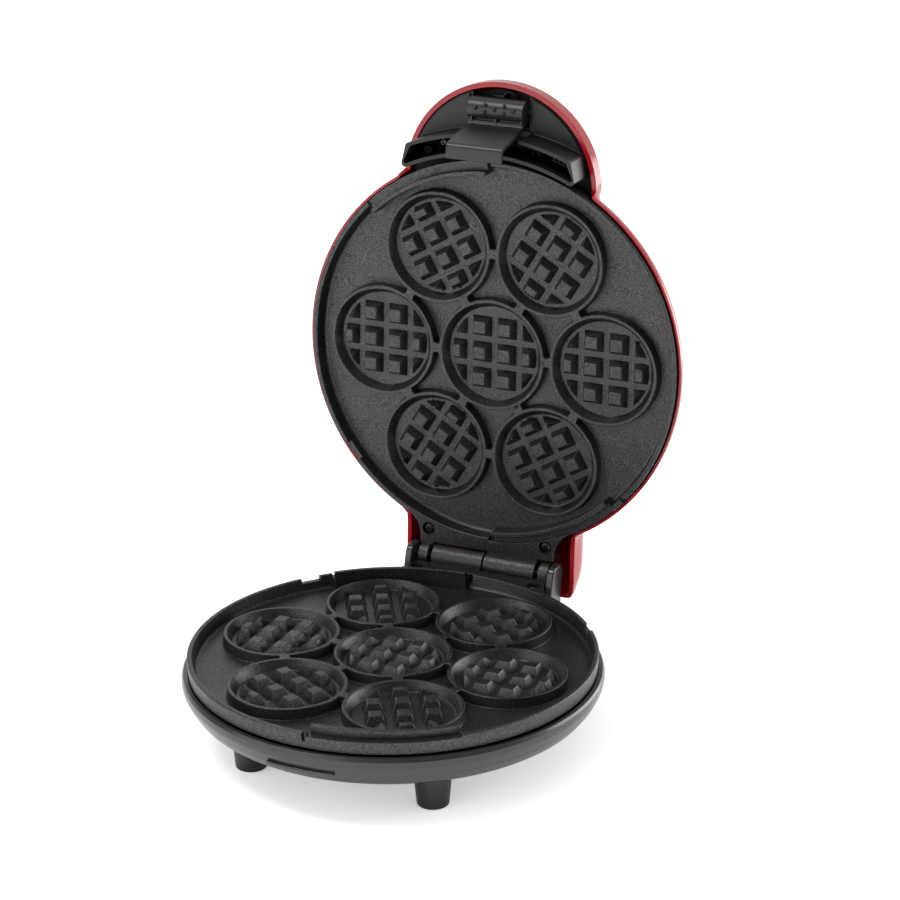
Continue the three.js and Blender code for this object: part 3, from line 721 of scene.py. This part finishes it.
for x in (-SCREW_X, SCREW_X):
    weld(bowl, rod("post", 4.2, (x, SCREW_Y, -25.5), (x, SCREW_Y, BASE_TOP), 32))
    cut(bowl, rod("post_bore", 1.6, (x, SCREW_Y, -21), (x, SCREW_Y, -5), 24))
for x in (-34, 34):
    for y in (-12, 0, 12):
        cut(bowl, block("slot", (x - 13, x + 13), (y - 1.5, y + 1.5), (BELOW, -22)))
cut(bowl, rod("cord_hole", 4.4, (0, 112, CORD_Z), (0, 124, CORD_Z), 32))
foot_places = {
    "front_left": (-50, -61),
    "front_right": (50, -61),
    "rear_left": (-30, 92),
    "rear_right": (30, 92),
}
for x, y in foot_places.values():
    cut(bowl, rod("foot_hole", 4.4, (x, y, BELOW), (x, y, -22), 24))
finish_surface(bowl)
settle(bowl, "base", finish["charcoal_moulded_abs"], "charcoal", "base_shell")

# %% [markdown]
# The feet are plain tapered posts with a small radius at the floor and a peg that snaps into the
# base. One is turned and copied to the four places.

# %% Feet
foot = lathe(
    "foot",
    rounded(
        [
            (0, -48, 0),
            (8, -48, 1.2),
            (9.8, BASE_BOTTOM - 0.3, 0.5),
            (4.1, BASE_BOTTOM - 0.3, 0.3),
            (4.1, -23.4, 0.6),
            (0, -23.4, 0),
        ]
    ),
    steps=64,
)
for where, (x, y) in foot_places.items():
    post = move(copy_of(foot, f"foot_post_{where}"), (x, y, 0))
    finish_surface(post)
    settle(post, "base", finish["foot_black_abs"], "black_plastic", f"foot_{where}")
bpy.data.objects.remove(foot)

# %% [markdown]
# Cord gland in the rear wall. The photograph shows no cord, so nothing comes out of it.

# %% Gland
gland = lathe(
    "gland_grommet",
    rounded(
        [
            (2.6, -4, 0),
            (5.9, -4, 0.8),
            (5.9, 0, 0.3),
            (4.1, 0, 0.3),
            (4.1, 4.6, 0.3),
            (5, 5.2, 0.3),
            (5, 6.4, 0.4),
            (2.6, 6.4, 0.4),
            (2.6, -4, 0),
        ]
    ),
    steps=48,
)
move(gland, (0, 0, 0), 90, "X")
move(gland, (0, REAR_Y + 0.3, CORD_Z))
finish_surface(gland)
settle(gland, "base", finish["moulded_rubber"], "rubber", "cord_gland")

# %% [markdown]
# The hinge rod and the screws. A screw is turned on the lathe, and its cross recess is cut with
# two tapering blades. It is made once and copied, head up in the base and head down in the lid.

# %% Hinge rod and screws
hinge_rod = rod("hinge_rod", 2, (-38.7, HINGE_Y, HINGE_Z), (38.7, HINGE_Y, HINGE_Z), 32)
soften(hinge_rod, 0.4)
finish_surface(hinge_rod)
settle(hinge_rod, "base", finish["ground_steel"], "steel", "hinge_pin")

screw = lathe(
    "screw",
    rounded(
        [
            (0, -16.5, 0),
            (1.3, -14.9, 0.2),
            (1.3, -1.9, 0),
            (2.9, -1.9, 0.3),
            (2.9, -0.9, 0.7),
            (1.6, 0, 0.8),
            (0, 0, 0),
        ]
    ),
    steps=40,
)
for heading in (25, 115):
    blade = block("blade", (-1.7, 1.7), (-0.32, 0.32), (-1.3, 1))
    cut(screw, move(blade, (0, 0, 0), heading))
cut(screw, rod("dimple", 0.75, (0, 0, -1.5), (0, 0, 1), 12))


def place_screw(name, x, y, top, node, body):
    """Copy the screw to a place, head up in the base and head down on the lid."""
    twin = copy_of(screw, name)
    if body == "lid":
        move(twin, (0, 0, 0), 180, "Y")
    move(twin, (x, y, top))
    finish_surface(twin)
    settle(twin, body, finish["blackened_steel"], "dark_steel", node)


for body, top in (("base", -0.5), ("lid", 0.5)):
    for side, x in (("left", -SCREW_X), ("right", SCREW_X)):
        name = f"hinge_screw_{body}_{side}"
        place_screw(name, x, SCREW_Y, top, f"{body}_hinge_screw_{side}", body)
for side, angle in (("left", -16), ("right", 16)):
    x, y = around_plate(114.15, angle)
    place_screw(f"core_screw_{side}", x, y, 7, f"insert_screw_{side}", "lid")
bpy.data.objects.remove(screw)

# %% [markdown]
# The lid is one moulding with three forms in it: a round dome, a round bulge in front for the
# handle and a hood over the hinge. It is built like a stack of contour lines. A ring of edges is
# extruded upwards level by level, and at each level every vertex is put where its ray from the
# centre leaves the widest of the three forms. Near its top the bulge leans back into the dome. A
# soft maximum leaves a moulding radius between the forms. Solidify then gives the wall.

# %% Lid housing
CROWN = 34.0
# height, dome radius, bulge radius and centre, half width of the hood, end of the hood
LEVELS = [
    (3.0, 106.0, 54.1, -90.0, 49.0, 130.0),
    (4.5, 106.0, 54.1, -90.0, 49.0, 130.0),
    (6.0, 105.9, 54.1, -90.0, 49.0, 130.0),
    (9.0, 104.8, 54.1, -90.0, 49.0, 128.2),
    (11.5, 103.6, 54.1, -90.0, 49.0, 126.4),
    (14.0, 102.3, 53.8, -90.0, 49.0, 124.6),
    (16.5, 101.0, 53.1, -90.0, 48.8, 122.6),
    (18.5, 99.8, 52.3, -90.0, 48.4, 120.8),
    (20.5, 98.4, 51.3, -90.0, 47.6, 118.6),
    (22.5, 96.5, 50.1, -90.0, 46.3, 116.0),
    (24.5, 94.0, 48.6, -90.0, 44.2, 112.6),
    (26.3, 90.6, 46.2, -90.0, 41.2, 108.4),
    (28.0, 85.6, 43.6, -89.0, 37.2, 102.6),
    (29.4, 79.6, 40.7, -86.0, 32.0, 96.0),
    (30.5, 72.8, 37.0, -80.0, 26.0, 88.0),
    (31.4, 65.8, 28.0, -66.0, 18.0, 78.0),
    (32.2, 58.0, 16.0, -50.0, 0.0, 0.0),
    (32.9, 48.0, 0.0, -40.0, 0.0, 0.0),
    (33.5, 34.0, 0.0, -40.0, 0.0, 0.0),
    (33.9, 17.0, 0.0, -40.0, 0.0, 0.0),
]
# height of the lower edge under each form, and the wall there as a share of the thickest
EDGES = {"dome": 3.0, "bulge": 9.0, "hood": 5.0}
WALLS = {"dome": 0.52, "bulge": 1.0, "hood": 0.92}
THICKEST = 2.7
EDGE_FADE = 14
BULGE_FADE = 17
MOULD_R = 5
HOOD_CORNER_R = 9
SIDES = 360


def soft_max(a, b, radius):
    """The larger of two lengths, blended where they are close."""
    share = max(radius - abs(a - b), 0) / radius
    return max(a, b) + share * share * radius / 4


def contour(angle, dome, bulge, centre, half, end):
    """How far the ray at this angle goes, and which form it leaves last."""
    x, y = math.cos(angle), math.sin(angle)
    along = centre * y
    under = along * along - centre * centre + bulge * bulge
    to_bulge = along + math.sqrt(under) if under > 0 and along > 0 else 0
    to_side = half / max(abs(x), 1e-6)
    to_end = end / y if y > 0.2 else 0
    to_hood = -soft_max(-to_side, -to_end, HOOD_CORNER_R) if to_end else 0
    reach = soft_max(soft_max(dome, to_bulge, MOULD_R), to_hood, MOULD_R)
    form = "dome"
    if to_bulge > dome + 0.1:
        form = "bulge"
    if to_hood > dome + 0.1:
        form = "hood"
    return reach, form


deselect()
bpy.ops.mesh.primitive_circle_add(vertices=SIDES, radius=106 * MM, fill_type="NOTHING")
lid_housing = new_piece("lid_housing")
bpy.ops.object.mode_set(mode="EDIT")
bpy.ops.mesh.select_all(action="SELECT")
for _ in LEVELS:
    bpy.ops.mesh.extrude_region_move(TRANSFORM_OT_translate={"value": (0, 0, MM)})
bpy.ops.mesh.merge(type="CENTER")
bpy.ops.object.mode_set(mode="OBJECT")

walls = lid_housing.vertex_groups.new(name="wall")
lowest = LEVELS[0][0]
for corner in lid_housing.data.vertices:
    level = round(corner.co.z / MM)
    if level >= len(LEVELS):
        corner.co = Vector((0, 0, CROWN)) * MM
        walls.add([corner.index], 0.85, "REPLACE")
        continue
    angle = math.atan2(corner.co.y, corner.co.x)
    height, *widths = LEVELS[level]
    reach = contour(angle, *widths)[0]
    low_form = contour(angle, *LEVELS[0][1:])[1]
    edge = EDGES[low_form]
    if height < EDGE_FADE:
        height = edge + (EDGE_FADE - edge) * (height - lowest) / (EDGE_FADE - lowest)
    if low_form == "bulge" and height < BULGE_FADE:
        reach = contour(angle, 0, *widths[1:])[0]
        reach = max(reach, contour(angle, *LEVELS[4][1:])[0])
    corner.co = Vector((reach * math.cos(angle), reach * math.sin(angle), height)) * MM
    upper_wall = WALLS["dome"] + 0.33 * min(level / 6, 1)
    walls.add([corner.index], max(WALLS[low_form], upper_wall), "REPLACE")

select_only(lid_housing)
bpy.ops.object.mode_set(mode="EDIT")
close_up(lid_housing)
use_modifier(
    lid_housing,
    "SOLIDIFY",
    thickness=THICKEST * MM,
    offset=-1,
    vertex_group="wall",
    use_even_offset=True,
    use_quality_normals=True,
)
print("lid housing faces", len(lid_housing.data.polygons))
soften(lid_housing, 0.35, 2, 50)
finish_surface(lid_housing, 35)
settle(lid_housing, "lid", finish["red_polished_abs"], "red_gloss", "lid_shell")

# %% [markdown]
# The black core fills the handle bulge. It has two raised half-moon panels with rounded edges and
# along the plate a collar: a curved band that is open towards the base when the lid is shut. The
# collar is an outer solid with rounded corners and a smaller one cut out. A bead runs along the
# panels' lower edge. Between the panels a window opens into a closed pocket, where the latch's
# pin runs between two bosses. Under the collar the core steps back to a deeper shelf. Ribs, a clip
# and a boss inside the collar are small, and placed as the photograph shows them.

# %% Handle core
HANDLE_Y = -90.0
CORE_R = 50.7
CORE_BACK = 11.8
CORE_FACE = 9.3
SHELF_FACE = 12.6
PANEL_FACE = 8.0
POCKET_BACK = 17.5
COLLAR_FRONT = -8.0
COLLAR_WALL = 1.9
SLOT_HALF = 17.3
CLIP_HEIGHT = 1.5
LATCH_Y, LATCH_Z = -130.0, 11.2


def half_moon(name, radius, arc_radius, low, high):
    """The part of the handle's circle that lies outside an arc about the plate's centre."""
    y = (arc_radius**2 + HANDLE_Y**2 - radius**2) / (2 * HANDLE_Y)
    x = math.sqrt(arc_radius**2 - y**2)
    start = math.degrees(math.atan2(y - HANDLE_Y, x))
    around = arc((0, HANDLE_Y), radius, start, -180 - start, 80)
    inner = math.degrees(math.atan2(y, x))
    across = arc((0, 0), arc_radius, -180 - inner, inner, 60)
    return pull_up(name, around + across[1:-1], low, high)


def collar_outline(inset, corner):
    """The collar seen from the front, with its four corners rounded."""
    outer, inner = 120 - inset, 108.3 + inset
    outer_half, inner_half = 22.6 - inset / 2, 27.1 - inset / 2
    path = [(*around_plate(outer, -outer_half), corner)]
    path += [(*p, 0) for p in arc((0, 0), outer, -88 - outer_half, -92 + outer_half, 40)]
    path += [(*around_plate(outer, outer_half), corner), (*around_plate(inner, inner_half), corner)]
    path += [(*p, 0) for p in arc((0, 0), inner, -92 + inner_half, -88 - inner_half, 40)]
    path += [(*around_plate(inner, -inner_half), corner)]
    return rounded(path, closed=True, parts=6)


core = half_moon("handle_core", CORE_R, 118, CORE_FACE, CORE_BACK)
shelf = half_moon("shelf", CORE_R, 102, SHELF_FACE, SHELF_FACE + 1.8)
panels = half_moon("panels", CORE_R - 0.4, 120.8, PANEL_FACE, CORE_FACE + 1.5)
cut(panels, block("gap", (-SLOT_HALF, SLOT_HALF), (-150, -100), (0, 20)))
soften(panels, 0.9, 4)
bead = sector("bead", 119.7, 121.3, -112, -68, PANEL_FACE - 0.7, CORE_FACE + 0.5, 40)
soften(bead, 0.7, 4)
collar = pull_up("collar", collar_outline(0, 2.2), COLLAR_FRONT, SHELF_FACE + 0.5)
soften(collar, 0.8, 4, 40)
weld(core, shelf, collar)
room_outline = collar_outline(COLLAR_WALL, 1.2)
cut(core, pull_up("collar_room", room_outline, COLLAR_FRONT - 2, SHELF_FACE))
for angle, depth in ((9.9, 114.2), (11.3, 112.4), (12.8, 112.2)):
    rib = soften(block("rib", (-0.35, 0.35), (-119, -depth), (0, CLIP_HEIGHT)), 0.15, 2)
    weld(core, move(rib, (0, 0, 0), angle))
clip = sector("clip", 113.2, 114.0, -73.2, -69.0, 0, CLIP_HEIGHT, 8)
for angle in (17.2, 18.6, 20.0):
    tooth = block("tooth", (-0.5, 0.5), (-119, -113.6), (0.2, 1.3))
    weld(clip, move(tooth, (0, 0, 0), angle))
boss_place = around_plate(112.4, -20.6)
weld(core, clip, rod("boss", 2.4, (*boss_place, 5.5), (*boss_place, SHELF_FACE + 0.5)))
pocket = block("pocket", (-18, 18), (-142, -120), (CORE_BACK - 0.5, POCKET_BACK))
limit = rod("limit", CORE_R - 1.7, (0, HANDLE_Y, 0), (0, HANDLE_Y, 30), 96)
combine(pocket, [limit], "INTERSECT")
weld(core, panels, bead, pocket)
for left, right in ((-19, -16.4), (16.4, 19)):
    weld(core, rod("boss", 3, (left, LATCH_Y, LATCH_Z), (right, LATCH_Y, LATCH_Z), 32))
cut(
    core,
    block("window", (-16, 16), (LATCH_Y - 14, LATCH_Y + 8.4), (0, POCKET_BACK - 1.5)),
    block(
        "slot",
        (-SLOT_HALF, SLOT_HALF),
        (LATCH_Y - 8.2, -110.2),
        (COLLAR_FRONT - 1, PANEL_FACE - 0.2),
    ),
    rod("latch_bore", 1.7, (-20, LATCH_Y, LATCH_Z), (20, LATCH_Y, LATCH_Z), 24),
)
finish_surface(core)

# a rougher skin, darker as painted shade, lines the collar and the pocket, apart from the walls that
# face the slot
core.data.materials.clear()
core.data.materials.append(finish["black_textured_abs"])
core.data.materials.append(finish["rough_abs_painted_shade"])
for face in core.data.polygons:
    x, y, z = face.center / MM
    along_band = Vector(around_plate(1, 90 + math.degrees(math.atan2(x, -y))))
    outward = along_band.dot(face.normal.xy) * math.copysign(1, x)
    in_collar = 109.7 < math.hypot(x, y) < 118.5 and z > -6.5 and outward < 0.5
    in_pocket = abs(x) < 16.5 and -144.5 < y < -121 and z > CORE_FACE + 0.2
    face.material_index = 1 if in_collar or in_pocket or z > CORE_BACK else 0
settle(core, "lid", finish["black_textured_abs"], "black_plastic", "handle_insert")

# %% [markdown]
# Behind the grip a small coil spring shows, with one straight leg. Its wire is a short round
# outline that the Screw modifier winds up round the coil's axis.

# %% Latch spring
SPRING_X, SPRING_Y = 3.0, -135.1
COIL_R, WIRE_R, COIL_PITCH = 3.5, 0.4, 1.15

wire = [(COIL_R + p.x, 0, p.y) for p in arc((0, 12.2), WIRE_R, 0, 360, 10)]
spring = close_up(draw_line("latch_spring", wire))
use_modifier(
    spring,
    "SCREW",
    axis="Z",
    angle=2 * math.pi,
    screw_offset=COIL_PITCH * MM,
    iterations=3,
    steps=36,
    render_steps=36,
)
select_only(spring)
bpy.ops.object.mode_set(mode="EDIT")
bpy.ops.mesh.select_all(action="SELECT")
bpy.ops.mesh.fill_holes(sides=12)
close_up(spring)
move(spring, (SPRING_X, SPRING_Y, 0))
leg = rod("leg", WIRE_R, (-5.3, SPRING_Y - 1, 12.3), (SPRING_X - 2.6, SPRING_Y - 1, 12.3), 12)
select_only(spring, leg)
bpy.ops.object.join()
finish_surface(spring)
settle(spring, "lid", finish["blackened_steel"], "dark_steel")

# %% [markdown]
# The latch is one lever: a round grip with seven dots for the thumb, a flat flap that bends at a
# knee, and a short hook that snaps under the base's ledge. An eye behind the grip holds the pin.
# Its side view is drawn and pulled across. The dots are small balls sunk into the grip, and three
# short ribs stiffen the step between grip and flap.

# %% Latch
GRIP_Z = 6.4
GRIP_R = 6.5
EYE_R = 3.2
EYE_FOOT_Z = GRIP_Z + 2.6
LATCH_HALF = 15.5
DOT_R = 1.25
DOT_PITCH = 5.3

latch_profile = [Vector((LATCH_Y + 5.4, EYE_FOOT_Z)), Vector((LATCH_Y + EYE_R, EYE_FOOT_Z))]
latch_profile += arc((LATCH_Y, LATCH_Z), EYE_R, 0, 180, 16)
latch_profile += [Vector((LATCH_Y - EYE_R, EYE_FOOT_Z)), Vector((LATCH_Y - 5.4, EYE_FOOT_Z))]
latch_profile += arc((LATCH_Y, GRIP_Z), GRIP_R, 178, 301, 24)
latch_profile += rounded(
    [
        (-126.2, 1.2, 0),
        (-125.7, 3.8, 0.3),
        (-124.5, 3.8, 0.3),
        (-124.8, 1.9, 0.3),
        (-123.1, 1.5, 1.2),
        (-117.4, -25.2, 3.4),
        (-109.6, -25.1, 0.6),
        (-109.3, -23.05, 0.6),
        (-115.2, -22.9, 1.8),
        (-121.0, 2.6, 0.6),
        (-122.4, 5.2, 0),
    ]
)[1:]
lever = soften(pull_across("latch_lever", latch_profile, -LATCH_HALF, LATCH_HALF), 0.8, 4, 35)
for column in range(-2, 3):
    for tilt in (-15,) if column % 2 == 0 else (-31, 2):
        angle = math.radians(270 + tilt)
        y = LATCH_Y + GRIP_R * math.cos(angle)
        z = GRIP_Z + GRIP_R * math.sin(angle)
        deselect()
        bpy.ops.mesh.primitive_uv_sphere_add(
            segments=24,
            ring_count=16,
            radius=DOT_R * MM,
            location=Vector((column * DOT_PITCH, y, z)) * MM,
        )
        weld(lever, apply_place(new_piece("dot")))
for x in (-13.4, 0.2, 14.5):
    weld(lever, soften(block("rib", (x - 0.55, x + 0.55), (-127.2, -124.0), (1.3, 4.6)), 0.15, 2))
cut(lever, rod("lever_bore", 1.7, (-20, LATCH_Y, LATCH_Z), (20, LATCH_Y, LATCH_Z), 24))
finish_surface(lever)
settle(lever, "latch", finish["latch_satin_abs"], "black_plastic", "latch")

latch_rod = rod("latch_rod", 1.4, (-18.4, LATCH_Y, LATCH_Z), (18.4, LATCH_Y, LATCH_Z), 24)
soften(latch_rod, 0.2, 2)
finish_surface(latch_rod)
settle(latch_rod, "lid", finish["ground_steel"], "steel", "latch_pin")

# %% [markdown]
# The lamp's lens is a small clear dome in the lid's top. The heaters, shields, thermostat, fuse
# and lamp stay the CAD solids, because the closed housings hide them, with real finishes.

# %% Lens and inner parts
lens = lathe(
    "lamp_lens",
    rounded([(0, 26.5, 0), (4.1, 26.5, 0.3), (4.1, 33.4, 0.9), (0, 34.3, 0)], parts=5),
    steps=48,
    place=(0, -58, 0),
)
finish_surface(lens)
settle(lens, "lid", finish["amber_clear_lens"], "amber", "indicator_lens")

inner_finishes = {
    "base_heater": "ground_steel",
    "lid_heater": "ground_steel",
    "thermostat": "ground_steel",
    "base_heat_shield": "rolled_aluminium",
    "lid_heat_shield": "rolled_aluminium",
    "thermal_fuse": "white_ceramic",
    "indicator_lamp": "white_ceramic",
}
for node, name in inner_finishes.items():
    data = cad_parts[node].data
    data.materials.clear()
    data.materials.append(finish[name])
print("inner parts:", len(inner_finishes))

# %% [markdown]
# The studio is a white table and a white wall behind it, while the room above and behind the
# camera is dark. A white floor and backdrop look white to the camera and in reflections. They
# glow by themselves there, and ambient occlusion dims that glow near the object: a painted soft
# shadow, on the table and in its reflections, on top of the real shadow in the floor's paint.
# Reflections of the dark side of the room keep the black plastics black.

# %% Floor and world
FLOOR_SIZE = 9
SHADE_REACH = 250
SKY = 0.35
DARK_SIDE = 0.15


def reflected_rays(tree):
    """The light path's outputs, and a value that is 1 for a reflected or refracted ray."""
    rays = add_node(tree, "LightPath").outputs
    inputs = {0: rays["Is Glossy Ray"], 1: rays["Is Transmission Ray"]}
    return rays, add_node(tree, "Math", {"operation": "MAXIMUM"}, inputs).outputs[0]


deselect()
bpy.ops.mesh.primitive_plane_add(size=FLOOR_SIZE, location=(0, 0, 0))
floor = new_piece("floor")
floor_paint, tree, _, _ = new_material("white_sweep", {})
tree.nodes.remove(tree.nodes["Principled BSDF"])
# ambient occlusion dims the floor's glow near the object: a painted shadow, seen directly and in
# reflections
painted_shadow_ao = add_node(
    tree, "AmbientOcclusion", {"samples": 8}, {"Distance": SHADE_REACH * MM}
).outputs["AO"]
to_eye = add_node(
    tree, "MapRange", None, {"Value": painted_shadow_ao, "To Min": 0.4, "To Max": 0.85}
).outputs[0]
mirrored = add_node(
    tree, "MapRange", None, {"Value": painted_shadow_ao, "From Min": 0.2, "To Min": 0.1, "To Max": 1.0}
).outputs[0]
rays, reflected = reflected_rays(tree)
direct = add_node(
    tree, "Math", {"operation": "MULTIPLY"}, {0: rays["Is Camera Ray"], 1: to_eye}
).outputs[0]
glow = add_node(
    tree, "Math", {"operation": "MULTIPLY_ADD"}, {0: reflected, 1: mirrored, 2: direct}
).outputs[0]
emission = add_node(tree, "Emission", None, {"Strength": glow})
paint = add_node(tree, "BsdfDiffuse", None, {"Color": linear("#fafafa")})
both = add_node(tree, "AddShader", None, {0: emission.outputs[0], 1: paint.outputs[0]})
feed(tree, tree.nodes["Material Output"], {"Surface": both.outputs[0]})
floor.data.materials.append(floor_paint)

world = bpy.data.worlds.new("studio")
bpy.context.scene.world = world
world.use_nodes = True
tree = world.node_tree
direction = add_node(tree, "TexCoord").outputs["Generated"]
depth = add_node(tree, "SeparateXYZ", None, {"Vector": direction}).outputs["Y"]
room = add_node(
    tree,
    "MapRange",
    None,
    {"Value": depth, "From Min": -0.1, "From Max": 0.35, "To Min": DARK_SIDE, "To Max": 1.0},
).outputs[0]
rays, reflected = reflected_rays(tree)
unseen = add_node(
    tree, "MapRange", None, {"Value": reflected, "To Min": SKY, "To Max": room}
).outputs[0]
strength = add_node(
    tree, "MapRange", None, {"Value": rays["Is Camera Ray"], "To Min": unseen, "To Max": 1.0}
).outputs[0]
feed(tree, tree.nodes["Background"], {"Color": linear("#ffffff"), "Strength": strength})

# %% [markdown]
# Four soft lamps: a wide one in front on the left, a small one overhead that draws thin lines on
# the rounded edges, a large one behind on the right for the lid's pale right side, and a weak one
# behind that grazes the end of the collar. The camera doesn't see them.

# %% Lamps


def soft_light(name, place, target, size, power):
    """A rectangular area light at place, turned to target."""
    bpy.ops.object.light_add(type="AREA", location=place)
    lamp = bpy.context.object
    lamp.name = name
    lamp.data.shape = "RECTANGLE"
    lamp.data.size, lamp.data.size_y = size
    lamp.data.energy = power
    lamp.rotation_euler = (Vector(target) - Vector(place)).to_track_quat("-Z", "Y").to_euler()
    lamp.visible_camera = False


soft_light("front_left", (-1.1, -1.7, 0.75), (0, 0, 0.15), (2.4, 1.1), 14)
soft_light("overhead", (-0.6, -0.6, 1.8), (0, 0, 0.1), (0.6, 0.5), 12)
soft_light("behind_right", (1.25, 0.95, 0.45), (0.05, 0, 0.15), (0.8, 0.8), 9)
soft_light("low_back", (0.45, 0.68, 0.14), (0.05, 0, 0.27), (0.3, 0.3), 1.2)
bpy.context.scene.view_settings.view_transform = "Standard"
